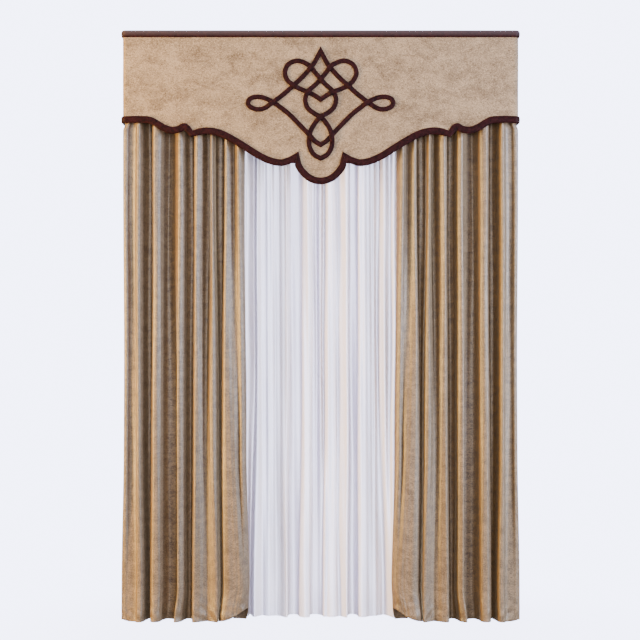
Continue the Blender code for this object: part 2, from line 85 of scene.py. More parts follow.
# %% Soft boxes
# Each lamp: where it stands, what it looks at, its width and height, its watts and its tint.
SOFT_BOXES = {
    "warm_side": ((-3.6, -1.2, -1.3), (0, 0, -1.5), (0.7, 3.2), 515, (1.0, 0.63, 0.20)),
    "cool_side": ((3.6, -1.9, -1.3), (0, 0, -1.5), (0.8, 3.2), 230, (0.92, 0.95, 1.0)),
    "front_left": ((-4.8, -3.1, 0.3), (0, 0, -1.4), (1.8, 2.4), 200, (1.0, 0.82, 0.48)),
    "front_right": ((4.8, -3.1, 0.3), (0, 0, -1.4), (1.8, 2.4), 190, (0.74, 0.93, 1.45)),
    "front_middle": ((0, -5.6, -0.4), (0, 0, -1.5), (1.2, 2.4), 180, (1.0, 0.95, 0.93)),
    "from_above": ((-0.9, -0.6, 2.0), (0, 0, -0.4), (2.6, 0.4), 90, (0.93, 0.95, 1.0)),
    "back_left": ((-4.6, 3.9, 0.5), (0, 0, -1.4), (1.8, 2.4), 90, (1.0, 0.95, 0.90)),
    "back_right": ((4.6, 3.9, 0.5), (0, 0, -1.4), (1.8, 2.4), 90, (0.90, 0.95, 1.0)),
}


def aim(item, target):
    """Turn a light so that it shines at the target."""
    way = np.array(target) - np.array(item.location)
    flat = math.hypot(way[0], way[1])
    item.rotation_euler = (math.atan2(flat, -way[2]), 0, math.atan2(way[1], way[0]) - math.pi / 2)


for name, (place, target, size, watts, tint) in SOFT_BOXES.items():
    lamp = bpy.data.lights.new(name, "AREA")
    lamp.shape = "RECTANGLE"
    lamp.size, lamp.size_y = size
    lamp.energy = watts
    lamp.color = tint
    holder = add_object(name, lamp)
    holder.location = place
    aim(holder, target)
    print("light", name, watts, "W")

# %% [markdown]
# **The room.** The camera sees a bright, even world behind the window. Lit by that, the cloth would lose its
# folds, so a Light Path node shows it to the camera only and lights the cloth with a much weaker one.

# %% Pale room
ROOM_WHITE = (0.70, 0.73, 1.0)
ROOM_SHOWN = 8.05
ROOM_LIGHT = (0.95, 0.96, 1.0)
ROOM_GLOW = 0.32


def background(nodes, colour, strength):
    """A world background of one colour. Returns its output."""
    node = nodes.new("ShaderNodeBackground")
    node.inputs["Color"].default_value = (*colour, 1)
    node.inputs["Strength"].default_value = strength
    return node.outputs["Background"]


room = bpy.data.worlds.new("Pale room")
room.use_nodes = True
bpy.context.scene.world = room
room_nodes = room.node_tree.nodes
room_links = room.node_tree.links
room_nodes.clear()
path = room_nodes.new("ShaderNodeLightPath")
pick = room_nodes.new("ShaderNodeMixShader")
sky = room_nodes.new("ShaderNodeOutputWorld")
room_links.new(path.outputs["Is Camera Ray"], pick.inputs["Fac"])
room_links.new(background(room_nodes, ROOM_LIGHT, ROOM_GLOW), pick.inputs[1])
room_links.new(background(room_nodes, ROOM_WHITE, ROOM_SHOWN), pick.inputs[2])
room_links.new(pick.outputs["Shader"], sky.inputs["Surface"])
print("room glow", ROOM_GLOW)

# %% [markdown]
# ## Shader groups
# Every cloth here is velvet or voile, so a few effects come back in each material: threads or pile, the
# crushed mottling of the pile, and painted light: a colour that changes with the way the cloth faces, as if it
# were lit warmer from one side. Each is a group with its own values where it is used.

# %% Helpers for groups


def new_group(name, inputs, outputs):
    """An empty shader group. inputs are (name, kind, value) and outputs are the names of its values."""
    group = bpy.data.node_groups.new(name, "ShaderNodeTree")
    for label, kind, value in inputs:
        socket = group.interface.new_socket(label, in_out="INPUT", socket_type="NodeSocket" + kind)
        if value is not None:
            socket.default_value = value
    for label in outputs:
        group.interface.new_socket(label, in_out="OUTPUT", socket_type="NodeSocketFloat")
    return group, group.nodes.new("NodeGroupInput"), group.nodes.new("NodeGroupOutput")


def feed(tree, value, socket):
    """Set a socket to a number or an RGB colour, or link another socket to it."""
    if isinstance(value, (int, float)):
        socket.default_value = value
    elif isinstance(value, tuple):
        socket.default_value = (*value, 1)
    else:
        tree.links.new(value, socket)


def math_node(tree, operation, first, second=None, clamp=False):
    """A Math node whose inputs are sockets or numbers. Returns its output."""
    node = tree.nodes.new("ShaderNodeMath")
    node.operation = operation
    node.use_clamp = clamp
    feed(tree, first, node.inputs[0])
    if second is not None:
        feed(tree, second, node.inputs[1])
    return node.outputs[0]


def mix_colour(tree, factor, first, second):
    """A colour Mix node between two sockets or RGB colours. Returns its output."""
    node = tree.nodes.new("ShaderNodeMix")
    node.data_type = "RGBA"
    feed(tree, factor, node.inputs[0])
    feed(tree, first, node.inputs[6])
    feed(tree, second, node.inputs[7])
    return node.outputs[2]


def noise(tree, place, **settings):
    """A noise at the place, its settings given by name as sockets or numbers. Returns its value."""
    node = tree.nodes.new("ShaderNodeTexNoise")
    tree.links.new(place, node.inputs["Vector"])
    for name, value in settings.items():
        feed(tree, value, node.inputs[name])
    return node.outputs[0]


print("helpers ready")

# %% [markdown]
# **Threads.** A weave is two sets of threads that cross. Two sine ridges at right angles, taken along the
# cloth's own width and length, give it cheaply, and a little noise keeps the threads from being ruled lines.
# A woven ground shows in the voile and, faintly, under the pile of the velvets.

# %% Group: threads
WARBLE_PER_METRE = 40.0
WARBLE_TURNS = 6.0

threads, entry, leave = new_group(
    "Woven threads",
    [("Place", "Vector", None), ("Threads per metre", "Float", 700.0), ("Unevenness", "Float", 0.3)],
    ["Height"],
)
warble = noise(threads, entry.outputs["Place"], Scale=WARBLE_PER_METRE, Detail=2.0)
shake = math_node(threads, "MULTIPLY", warble, entry.outputs["Unevenness"])
shake = math_node(threads, "MULTIPLY", shake, WARBLE_TURNS)
split = threads.nodes.new("ShaderNodeSeparateXYZ")
threads.links.new(entry.outputs["Place"], split.inputs[0])
ridges = []
for axis in (0, 1):
    turns = math_node(threads, "MULTIPLY", split.outputs[axis], entry.outputs["Threads per metre"])
    turns = math_node(threads, "ADD", turns, shake)
    wave = math_node(threads, "SINE", math_node(threads, "MULTIPLY", turns, 2 * math.pi))
    ridges.append(math_node(threads, "ADD", math_node(threads, "MULTIPLY", wave, 0.5), 0.5))
threads.links.new(math_node(threads, "MAXIMUM", ridges[0], ridges[1]), leave.inputs["Height"])
print("group", threads.name)

# %% [markdown]
# **Crushed pile.** Crushed velvet is pressed in patches, so its pile lies in many ways at once. Seen from a
# step back that is a mottling of finger-wide patches with a finer crackle inside. One noise gives the
# patches and another the crackle. The mask of both goes into colour and roughness, and the crackle's height
# into the bump, so that they agree.

# %% Group: crushed pile
PATCH_SHARE = 0.28
CRACKLE_SHARE = 0.72
MASK_FROM = 0.40
MASK_TO = 0.60

pile, entry, leave = new_group(
    "Crushed pile",
    [("Place", "Vector", None), ("Patches per metre", "Float", 26.0), ("Crackle per metre", "Float", 130.0)],
    ["Mask", "Height"],
)
patches = noise(
    pile, entry.outputs["Place"], Scale=entry.outputs["Patches per metre"], Detail=3.0, Distortion=0.8,
)
crackle = noise(
    pile, entry.outputs["Place"], Scale=entry.outputs["Crackle per metre"], Detail=2.0, Roughness=0.55,
    Distortion=1.6,
)
both = math_node(pile, "ADD", math_node(pile, "MULTIPLY", patches, PATCH_SHARE),
                 math_node(pile, "MULTIPLY", crackle, CRACKLE_SHARE))
sharper = pile.nodes.new("ShaderNodeMapRange")
sharper.inputs["From Min"].default_value = MASK_FROM
sharper.inputs["From Max"].default_value = MASK_TO
pile.links.new(both, sharper.inputs["Value"])
pile.links.new(sharper.outputs["Result"], leave.inputs["Mask"])
pile.links.new(crackle, leave.inputs["Height"])
print("group", pile.name)

# %% [markdown]
# ** Painted light by facing.** This group paints light and shade into the colour: the sides of a fold that face
# left and right get different colours that stand in for light from the two sides, and the crest between them,
# facing the room, gets a paler painted highlight. The group reads the surface's own direction along the
# window. It gives 0 where the cloth faces left and 1 where it faces right, a second mask that is 1 where it
# faces straight into the room, and a third for cloth that faces up, where light from above is painted on.

# %% Group: painted light by facing
TOP_LIGHT_SLOPE = 0.9
TOP_LIGHT_START = 0.35

facing_paint_group, entry, leave = new_group(
    "Painted light by facing",
    [("Softness", "Float", 0.55), ("Middle", "Float", 0.1), ("Disturbed", "Float", 0.0)],
    ["Faces right", "Faces room", "Faces up"],
)
facing = facing_paint_group.nodes.new("ShaderNodeNewGeometry")
split = facing_paint_group.nodes.new("ShaderNodeSeparateXYZ")
facing_paint_group.links.new(facing.outputs["Normal"], split.inputs[0])
# Painted light: the masks below mix colours by the way the cloth faces, standing in for light from the sides.
off = math_node(facing_paint_group, "SUBTRACT", split.outputs[0], entry.outputs["Middle"])
off = math_node(facing_paint_group, "ADD", off, entry.outputs["Disturbed"])
share = math_node(facing_paint_group, "DIVIDE", off, entry.outputs["Softness"])
half = math_node(facing_paint_group, "ADD", math_node(facing_paint_group, "MULTIPLY", share, 0.5), 0.5, clamp=True)
facing_paint_group.links.new(half, leave.inputs["Faces right"])
aside = math_node(facing_paint_group, "SUBTRACT", math_node(facing_paint_group, "MULTIPLY", half, 2.0), 1.0)
aside = math_node(facing_paint_group, "ABSOLUTE", aside)
facing_paint_group.links.new(math_node(facing_paint_group, "SUBTRACT", 1.0, aside), leave.inputs["Faces room"])
# Painted highlight: cloth that faces up is marked for a lighter colour, as light from above would give it.
upward = math_node(facing_paint_group, "MULTIPLY", split.outputs[2], TOP_LIGHT_SLOPE)
facing_paint_group.links.new(math_node(facing_paint_group, "ADD", upward, TOP_LIGHT_START, clamp=True), leave.inputs["Faces up"])
print("group", facing_paint_group.name)

# %% [markdown]
# ## Velvet
# The velvets of the pelmet, the bands and the drapes differ in colour, in how much they are crushed and in
# how strongly light from the sides is painted into their colour. The top band's has a painted highlight where
# it faces up, for light from above. A Principled shader with sheen is made for this: the sheen brightens the
# pile where it is seen from the side. Sheen is the same all over the cloth, so it is set on the shader itself.

# %% Helpers for materials


def new_material(name):
    """A material with nodes. Returns it with its tree and its Principled shader."""
    material = bpy.data.materials.new(name)
    material.use_nodes = True
    return material, material.node_tree, material.node_tree.nodes["Principled BSDF"]


def place_group(tree, group, **values):
    """Put a group in a material with its own values, spaces in socket names written as _."""
    node = tree.nodes.new("ShaderNodeGroup")
    node.node_tree = group
    for name, value in values.items():
        feed(tree, value, node.inputs[name.replace("_", " ")])
    return node


def stretched_place(tree, laid, stretch):
    """The place on the surface, by Object or UV, stretched along its three axes."""
    node = tree.nodes.new("ShaderNodeMapping")
    node.inputs["Scale"].default_value = stretch
    tree.links.new(tree.nodes.new("ShaderNodeTexCoord").outputs[laid], node.inputs["Vector"])
    return node.outputs["Vector"]


def add_bump(tree, shader, height, strength, distance):
    """Turn a height into bump on the shader. The distance is in metres."""
    bump = tree.nodes.new("ShaderNodeBump")
    bump.inputs["Strength"].default_value = strength
    bump.inputs["Distance"].default_value = distance
    tree.links.new(height, bump.inputs["Height"])
    tree.links.new(bump.outputs["Normal"], shader.inputs["Normal"])


print("material helpers ready")

# %% Velvet
RUFFLE = 0.22
GROUND_PER_METRE = 420.0
GROUND_RELIEF = 0.2
CRUSHED_SHINE = -0.12
SHEEN_ROUGHNESS = 0.28
PILE_DEPTH = 0.0015


def velvet(name, shades, spread, patches, crackle, lean, rough, sheen, sheen_tint,
           gloss=0.25, stretch=(1, 1, 1), laid="Object", painted_top_light=None):
    """Velvet. Its four shades are its own colour with painted light for cloth that faces left, the room and
    right, and of crushed spots.
    """
    left, room, right, spots = shades
    material, tree, shader = new_material(name)
    place = stretched_place(tree, laid, stretch)
    crushed = place_group(tree, pile, Place=place, Patches_per_metre=patches, Crackle_per_metre=crackle)
    mask = crushed.outputs["Mask"]
    # Painted light: the colour is mixed by the way the cloth faces; lean sets how soft and where that change
    # is, and the crushed spots jitter it a little.
    ruffled = math_node(tree, "MULTIPLY", math_node(tree, "SUBTRACT", mask, 0.5), RUFFLE)
    slope = place_group(tree, facing_paint_group, Softness=lean[0], Middle=lean[1], Disturbed=ruffled)
    colour = mix_colour(tree, slope.outputs["Faces right"], left, right)
    colour = mix_colour(tree, slope.outputs["Faces room"], colour, room)
    dark = math_node(tree, "MULTIPLY", math_node(tree, "SUBTRACT", 1.0, mask), spread)
    colour = mix_colour(tree, dark, colour, spots)
    # Painted highlight: where it is asked for, cloth that faces up is painted lighter, as if lit from above.
    if painted_top_light:
        colour = mix_colour(tree, slope.outputs["Faces up"], colour, painted_top_light)
    tree.links.new(colour, shader.inputs["Base Color"])
    dull = math_node(tree, "ADD", math_node(tree, "MULTIPLY", mask, CRUSHED_SHINE), rough)
    tree.links.new(dull, shader.inputs["Roughness"])
    shader.inputs["Sheen Weight"].default_value = sheen
    shader.inputs["Sheen Roughness"].default_value = SHEEN_ROUGHNESS
    shader.inputs["Sheen Tint"].default_value = (*sheen_tint, 1)
    shader.inputs["Specular IOR Level"].default_value = gloss
    ground = place_group(tree, threads, Place=place, Threads_per_metre=GROUND_PER_METRE, Unevenness=0.4)
    relief = math_node(tree, "MULTIPLY", ground.outputs["Height"], GROUND_RELIEF)
    height = math_node(tree, "ADD", crushed.outputs["Height"], relief)
    add_bump(tree, shader, height, 0.5, PILE_DEPTH)
    print("velvet", name)
    return material


print("velvet recipe ready")

# %% Velvet materials
# Each velvet's first three shades are its own colour with painted light for cloth that faces left, the room
# and right; the fourth is its crushed spots. On the drapes the painted light is strong: gold facing left, pale
# facing the room, grey facing right.
PELMET_SHADES = ((0.387, 0.260, 0.151), (0.384, 0.269, 0.171), (0.389, 0.290, 0.201), (0.10, 0.063, 0.036))
BAND_SHADES = (
    (0.025, 0.0046, 0.0056), (0.026, 0.0050, 0.0066), (0.025, 0.0052, 0.0072), (0.003, 0.0006, 0.0010),
)
DRAPE_SHADES = ((0.175, 0.094, 0.032), (0.335, 0.228, 0.139), (0.20, 0.146, 0.096), (0.07, 0.044, 0.026))
BAND_PILE = {
    "spread": 0.9, "patches": 60.0, "crackle": 110.0, "lean": (1.4, 0.0), "rough": 0.6, "sheen": 0.08,
    "sheen_tint": (0.95, 0.78, 0.82), "gloss": 0.06,
}
# Painted highlight colour for the top of the top band, standing in for light from above.
TOP_BAND_PAINTED_LIGHT = (0.088, 0.065, 0.074)

PELMET_VELVET = velvet(
    "Beige pelmet velvet", PELMET_SHADES, spread=0.94, patches=14.0, crackle=190.0, lean=(1.4, 0.0),
    rough=0.75, sheen=0.1, sheen_tint=(1.0, 0.92, 0.82), stretch=(0.75, 1, 1.2),
)
BAND_VELVET = velvet("Dark band velvet", BAND_SHADES, **BAND_PILE)
TOP_VELVET = velvet("Top band velvet with painted top light", BAND_SHADES, **BAND_PILE, painted_top_light=TOP_BAND_PAINTED_LIGHT)
DRAPE_VELVET = velvet(
    "Taupe drape velvet", DRAPE_SHADES, spread=1.0, patches=20.0, crackle=165.0, lean=(0.8, 0.08),
    rough=0.40, sheen=0.8, sheen_tint=(1.0, 0.82, 0.60), gloss=0.7, stretch=(1, 1.6, 1), laid="UV",
)

# %% [markdown]
# ## Voile
# The sheer lets light through and shows what is behind it as a pale shade. Alpha, a little lower between the
# threads, gives that, and the folds stack it so that they look whiter where the cloth doubles. Its colour has
# painted light and shade: sides of a fold that face left are painted darker and cooler, sides that face right
# warmer and lighter.

# %% Voile material
VOILE_OPACITY = 0.68
VOILE_GAPS = 0.12
VOILE_THREADS = 0.16
VOILE_BUNCHED = 0.36
VOILE_PAINTED_LEFT_FACING = (0.63, 0.60, 0.83)
VOILE_PAINTED_RIGHT_FACING = (0.92, 0.81, 0.84)

voile, tree, shader = new_material("White voile")
cloth_place = tree.nodes.new("ShaderNodeTexCoord").outputs["UV"]
weave = place_group(tree, threads, Place=cloth_place, Threads_per_metre=520.0, Unevenness=0.25)
# Painted light: the voile's colour is mixed by the way the cloth faces, darker and cooler facing left, warmer
# and lighter facing right, with a little noise along the border.
tint_jitter = math_node(tree, "SUBTRACT", noise(tree, cloth_place, Scale=9.0, Detail=3.0), 0.5)
shown = place_group(tree, facing_paint_group, Softness=1.0, Middle=0.0, Disturbed=tint_jitter)
painted_voile_colour = mix_colour(tree, shown.outputs["Faces right"], VOILE_PAINTED_LEFT_FACING, VOILE_PAINTED_RIGHT_FACING)
tree.links.new(painted_voile_colour, shader.inputs["Base Color"])
turned = tree.nodes.new("ShaderNodeSeparateXYZ")
tree.links.new(tree.nodes.new("ShaderNodeNewGeometry").outputs["Normal"], turned.inputs[0])
bunched = math_node(tree, "MULTIPLY", math_node(tree, "ABSOLUTE", turned.outputs[0]), VOILE_BUNCHED)
solid = math_node(tree, "MULTIPLY", weave.outputs["Height"], VOILE_THREADS)
solid = math_node(tree, "ADD", solid, VOILE_OPACITY - VOILE_GAPS)
tree.links.new(math_node(tree, "ADD", solid, bunched, clamp=True), shader.inputs["Alpha"])
shader.inputs["Roughness"].default_value = 0.75
shader.inputs["Specular IOR Level"].default_value = 0.2
shader.inputs["Sheen Weight"].default_value = 0.3
add_bump(tree, shader, weave.outputs["Height"], 0.15, 0.0005)
print("voile opacity", VOILE_OPACITY)

# %% [markdown]
# ## The board that carries everything
# The pelmet's top is a plain painted board. Only its upper face and its back edge can be seen, so the solid
# of the frame is right as it is and only takes a finish: paint over faint long grain.

# %% Board paint
PAINT_PALE = (0.72, 0.68, 0.61)
PAINT_DEEP = (0.62, 0.575, 0.50)
GRAIN_STRETCH = (1.5, 40.0, 40.0)

paint, tree, shader = new_material("Painted board")
grain = noise(tree, stretched_place(tree, "Object", GRAIN_STRETCH), Scale=4.0, Detail=5.0)
tree.links.new(mix_colour(tree, grain, PAINT_PALE, PAINT_DEEP), shader.inputs["Base Color"])
dull = math_node(tree, "ADD", math_node(tree, "MULTIPLY", grain, 0.2), 0.45)
tree.links.new(dull, shader.inputs["Roughness"])
add_bump(tree, shader, grain, 0.2, 0.0008)
for slot in bpy.data.objects["pelmet_board"].material_slots:
    slot.material = paint
print("board painted")

# %% [markdown]
# ## Lines and surfaces
# All shapes here are drawn from short tables in millimetres. One curve that passes smoothly through its
# points serves for the edges, the knot and the fold sections alike.

# %% Curves
SPAN_STEPS = 12


def through(points, u):
    """Point at station number u, or at each of several, of a smooth curve through the points."""
    points = np.asarray(points, float)
    u = np.atleast_1d(np.asarray(u, float))
    last = len(points) - 1
    padded = np.vstack([2 * points[0] - points[1], points, 2 * points[-1] - points[-2]])
    i = np.minimum(u.astype(int), last - 1)
    t = (u - i)[:, None]
    a, b, c, d = (padded[i + k] for k in range(4))
    return 0.5 * (2 * b + (c - a) * t + (2 * a - 5 * b + 4 * c - d) * t**2 + (3 * b - a - 3 * c + d) * t**3)


def drawn(points):
    """The smooth curve through the points as a dense polyline."""
    spans = len(points) - 1
    return through(points, np.linspace(0, spans, spans * SPAN_STEPS + 1))


def run_lengths(line):
    """How far along the line each of its points lies."""
    return np.concatenate([[0.0], np.cumsum(np.linalg.norm(np.diff(line, axis=0), axis=1))])


def at_lengths(line, wanted):
    """Points of the line at the lengths wanted."""
    along = run_lengths(line)
    return np.stack([np.interp(wanted, along, line[:, k]) for k in range(line.shape[1])], axis=1)


def flipped(line):
    """The line reflected left to right, run backwards."""
    back = np.array(line, float)[::-1].copy()
    back[:, 0] *= -1
    return back


def eased(value, low, high):
    """0 at low, 1 at high, smooth between."""
    t = np.clip((np.asarray(value, float) - low) / (high - low), 0, 1)
    return t * t * (3 - 2 * t)


print("curves ready")

# %% [markdown]
# Pieces of the pelmet lie on one folded strip: flat in front, round two small corners and back to the wall.
# So they are drawn on the unfolded strip and wrapped on to it.

# %% The pelmet's strip
HALF_WIDTH = 992.0
FRONT_Y = -100.0
CORNER_RADIUS = 20.0
BACK_Y = 96.5
FLAT_HALF = HALF_WIDTH - CORNER_RADIUS
CORNER_RUN = CORNER_RADIUS * math.pi / 2
STRIP_END = FLAT_HALF + CORNER_RUN + (BACK_Y - FRONT_Y - CORNER_RADIUS)


def wrapped(s, out, z):
    """Places in space for strip length s, standing out by out, at height z. Each may be an array."""
    s, out, z = np.broadcast_arrays(np.asarray(s, float), np.asarray(out, float), np.asarray(z, float))
    side = np.where(s < 0, -1.0, 1.0)
    past = np.abs(s) - FLAT_HALF
    turn = np.clip(past, 0, CORNER_RUN) / CORNER_RADIUS
    reach = CORNER_RADIUS + out
    x = np.where(past <= 0, np.abs(s), FLAT_HALF + reach * np.sin(turn))
    y = FRONT_Y + CORNER_RADIUS - reach * np.cos(turn) + np.maximum(0, past - CORNER_RUN)
    return np.stack([side * x, y, z], axis=-1)


print("strip runs", round(2 * STRIP_END * MM, 3), "m from wall to wall")

# %% [markdown]
# **From points to pieces.** Every piece is made alike: its points become metres, it rides on the frame's
# root, and it is named as what stands for its solid. Most are a run of sections, joined ring by ring.

# %% Mesh helpers
SHARP_DEGREES = 55


def make_piece(name, points_mm, faces, material, replaces, uv=None):
    """A smooth mesh piece in metres that rides on the frame and stands for the named nodes."""
    mesh = bpy.data.meshes.new(name)
    mesh.from_pydata((np.asarray(points_mm, float) * MM).tolist(), [], faces)
    mesh.polygons.foreach_set("use_smooth", [True] * len(mesh.polygons))
    if uv is not None:
        layer = mesh.uv_layers.new(name="Cloth")
        corners = np.empty(len(mesh.loops), np.int32)
        mesh.loops.foreach_get("vertex_index", corners)
        layer.data.foreach_set("uv", (uv[corners] * MM).astype(np.float32).ravel())
    mesh.materials.append(material)
    mesh.update()
    mesh.set_sharp_from_angle(angle=math.radians(SHARP_DEGREES))
    piece = add_object(name, mesh)
    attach(piece, "root")
    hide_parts(*replaces)
    print(name, len(mesh.polygons), "faces")
    return piece


def skin(rings, closed_run=False):
    """Faces that join rings of equal point count, capped at both ends unless the run closes on itself."""
    count = len(rings[0])
    spans = len(rings) if closed_run else len(rings) - 1
    faces = []
    for i in range(spans):
        a = i * count
        b = ((i + 1) % len(rings)) * count
        faces += [(a + j, b + j, b + (j + 1) % count, a + (j + 1) % count) for j in range(count)]
    if not closed_run:
        faces.append(tuple(range(count)))
        faces.append(tuple(range((len(rings) - 1) * count, len(rings) * count))[::-1])
    return np.concatenate(rings), faces


print("mesh helpers ready")

# %% [markdown]
# ## Lower edge
# The pelmet's lower edge is a line of shallow scallops that meet in two small points and in two cusps, with a
# round lobe in the middle. The bands follow it, and the panel's own edge stays hidden behind them.

# %% Edge tables (x, z in millimetres, left half)
OUTER_EDGE = [
    (-914, -445.5), (-858, -448.5), (-823, -464.5), (-788, -485.5), (-752.5, -498.5),
    (-724.5, -498.5), (-703.5, -492.5), (-682.5, -482), (-661.5, -496), (-643.3, -517.8),
]
MIDDLE_EDGE = [
    (-643.3, -517.8), (-612.5, -509), (-570.5, -503), (-521, -509), (-472, -528), (-416, -559.5),
    (-360, -594.5), (-303.5, -629.5), (-247.5, -654), (-200, -662.5), (-163.5, -654), (-119, -636.5),
]
CENTRE_EDGE = [(-119, -636.5), (-113.5, -669), (-97.5, -699), (-63, -733.5), (-28.5, -750), (0, -754)]
SIDE_SEAM = ((-639.5, -501.0), (-647.0, -534.5))
LOBE_SEAM = ((-110.5, -606.5), (-127.5, -666.5))
RETURN_Z = -447.0

RETURN_LINE = np.array([(s, RETURN_Z) for s in (-STRIP_END, -FLAT_HALF - CORNER_RUN, -FLAT_HALF)])
OUTER_LINE = np.vstack([RETURN_LINE, drawn(OUTER_EDGE)])
MIDDLE_LINE = drawn(MIDDLE_EDGE)
CENTRE_LINE = drawn(CENTRE_EDGE + [(-x, z) for x, z in CENTRE_EDGE[-2::-1]])
WHOLE_EDGE = np.vstack([OUTER_LINE, MIDDLE_LINE, CENTRE_LINE, flipped(MIDDLE_LINE), flipped(OUTER_LINE)])
print("lower edge runs", round(run_lengths(WHOLE_EDGE)[-1] * MM, 2), "m")

# %% [markdown]
# ## Panel
# A pelmet is buckram or thin board with a soft interlining under the velvet, so its edges are rounded and its
# face isn't dead flat. The panel is a sheet of rows between the top and the scalloped edge, with its rim
# turned back, and its face rises and falls by a fraction of a millimetre.

# %% Panel
PANEL_THICKNESS = 6.0
PANEL_TOP = -1.0
EDGE_BACKING = 13.5
PANEL_ROWS = 26
RELIEF = 0.22
FACE_DEPTH = 0.45
RIM = 1.2
RIM_DEPTHS = [-1.5, -4.5]
RIM_LOW = 0.4
RIM_TOP = 0.3


def panel_edge(stations):
    """Height of the panel's lower edge at each station: the underside of discs run along the band line."""
    dense = at_lengths(WHOLE_EDGE, np.arange(0, run_lengths(WHOLE_EDGE)[-1], 1.5))
    off = dense[None, :, 0] - stations[:, None]
    drop = np.sqrt(np.maximum(EDGE_BACKING**2 - off**2, 0))
    return np.where(np.abs(off) < EDGE_BACKING, dense[None, :, 1] - drop, np.inf).min(axis=1)


def unevenness(s, z):
    """Slow rise and fall of the interlining: two slow waves that cross, in millimetres."""
    return RELIEF * (np.sin(s / 61 + 1.3 * np.sin(z / 83)) + np.sin(z / 47 + 1.7 * np.sin(s / 97)))


fine = np.linspace(-FLAT_HALF, FLAT_HALF, 560)
corner = FLAT_HALF + CORNER_RUN * np.linspace(0.2, 1, 5)
back = np.linspace(FLAT_HALF + CORNER_RUN, STRIP_END, 24)[1:]
stations = np.concatenate([-back[::-1], -corner[::-1], fine, corner, back])
share = np.linspace(0, 1, PANEL_ROWS)
rings = []
for s, low in zip(stations, panel_edge(stations)):
    z = PANEL_TOP - RIM + (low + 2 * RIM - PANEL_TOP) * share
    face = wrapped(s, unevenness(s, z) - FACE_DEPTH, z)
    inside = wrapped(s, -PANEL_THICKNESS, z[::-1])
    turn_low = wrapped(s, RIM_DEPTHS, low + RIM_LOW)
    turn_top = wrapped(s, RIM_DEPTHS[::-1], PANEL_TOP - RIM_TOP)
    rings.append(np.vstack([face, turn_low, inside[[0, -1]], turn_top]))
points, faces = skin(rings)
make_piece("panel_cover", points, faces, PELMET_VELVET, ["pelmet_panel"])

# %% [markdown]
# ## Bands
# Each band is a strip of velvet over a soft core, sewn down along both sides. A rounded section run along its
# line gives that: a plain roll for the top band, and one that is flatter on top for the lower. The line is
# mitred where bands meet.

# %% Sweep along the strip
BAND_WIDTH = 35.0
BAND_HEIGHT = 7.5
PROUD = 0.3
MITRE_LIMIT = 0.35


def plump_section(count, power):
    """Half section as (share of half width, share of height). The smaller the power, the flatter its top."""
    angles = np.linspace(math.pi, 0, count)
    across = np.sign(np.cos(angles)) * np.abs(np.cos(angles)) ** power
    rise = np.sin(angles) ** power
    return np.stack([across, rise], axis=1)


def across_line(line, closed_run=False):
    """Direction across the line at each point, stretched so that mitred corners keep their width."""
    before = line - np.roll(line, 1, axis=0)
    after = np.roll(line, -1, axis=0) - line
    if not closed_run:
        before[0] = after[0]
        after[-1] = before[-1]
    before /= np.linalg.norm(before, axis=1, keepdims=True)
    after /= np.linalg.norm(after, axis=1, keepdims=True)
    middle = before + after
    middle /= np.linalg.norm(middle, axis=1, keepdims=True)
    across = np.stack([middle[:, 1], -middle[:, 0]], axis=1)
    return across / np.maximum(MITRE_LIMIT, np.sum(middle * after, axis=1))[:, None]


def sweep_rings(line, sides, section, width, height, lift=0.0):
    """Section rings wrapped on to the pelmet, each with its own lift."""
    lift = np.broadcast_to(lift, len(line))
    rings = []
    for centre, side, up in zip(line, sides, lift):
        spot = centre + np.outer(section[:, 0], side) * width / 2
        rings.append(wrapped(spot[:, 0], PROUD + up + section[:, 1] * height, spot[:, 1]))
    return rings


BAND_SECTION = plump_section(15, 0.75)
ROLL_SECTION = plump_section(21, 1.0)
print("band section of", len(BAND_SECTION), "points")

# %% Top band
TOP_BAND_Z = -18.0
along_return = -np.linspace(STRIP_END, FLAT_HALF + CORNER_RUN, 24)
round_corner = -FLAT_HALF - CORNER_RUN * np.linspace(0.85, 0, 7)
along_front = -np.linspace(FLAT_HALF, 0, 120)[1:]
half = np.concatenate([along_return, round_corner, along_front])
run = np.concatenate([half, -half[-2::-1]])
line = np.stack([run, np.full(len(run), TOP_BAND_Z)], axis=1)
rings = sweep_rings(line, across_line(line), ROLL_SECTION, BAND_WIDTH, BAND_HEIGHT)
points, faces = skin(rings)
make_piece("top_band_velvet", points, faces, TOP_VELVET, ["top_band"])

# %% [markdown]
# **Mitres.** The lower band is cut at its two points and two cusps, where velvet would pucker if it were
# bent, and each cut is mitred. The last section of a piece lies along its seam and a hair short of it.

# %% Bottom bands
BAND_STEP = 5.0
MITRE_ROOM = BAND_WIDTH * 0.95
SEAM_GAP = 0.18


def band_between(line, first_seam, last_seam):
    """A band line resampled evenly, with a seam's two ends as the last section where it is mitred."""
    total = run_lengths(line)[-1]
    start = MITRE_ROOM if first_seam else 0.0
    stop = total - MITRE_ROOM if last_seam else total
    wanted = list(np.linspace(start, stop, int((stop - start) / BAND_STEP) + 1))
    wanted = ([0.0] if first_seam else []) + wanted + ([total] if last_seam else [])
    path = at_lengths(line, wanted)
    sides = across_line(path)
    for index, seam, inner in ((0, first_seam, 1), (-1, last_seam, -2)):
        if not seam:
            continue
        upper, lower = (np.array(end) for end in seam)
        normal = np.array([-(lower - upper)[1], (lower - upper)[0]]) / np.linalg.norm(lower - upper)
        normal *= np.sign(np.dot(normal, path[inner] - path[index]))
        path[index] = (upper + lower) / 2 + normal * SEAM_GAP
        sides[index] = (lower - upper) / BAND_WIDTH
    return path, sides


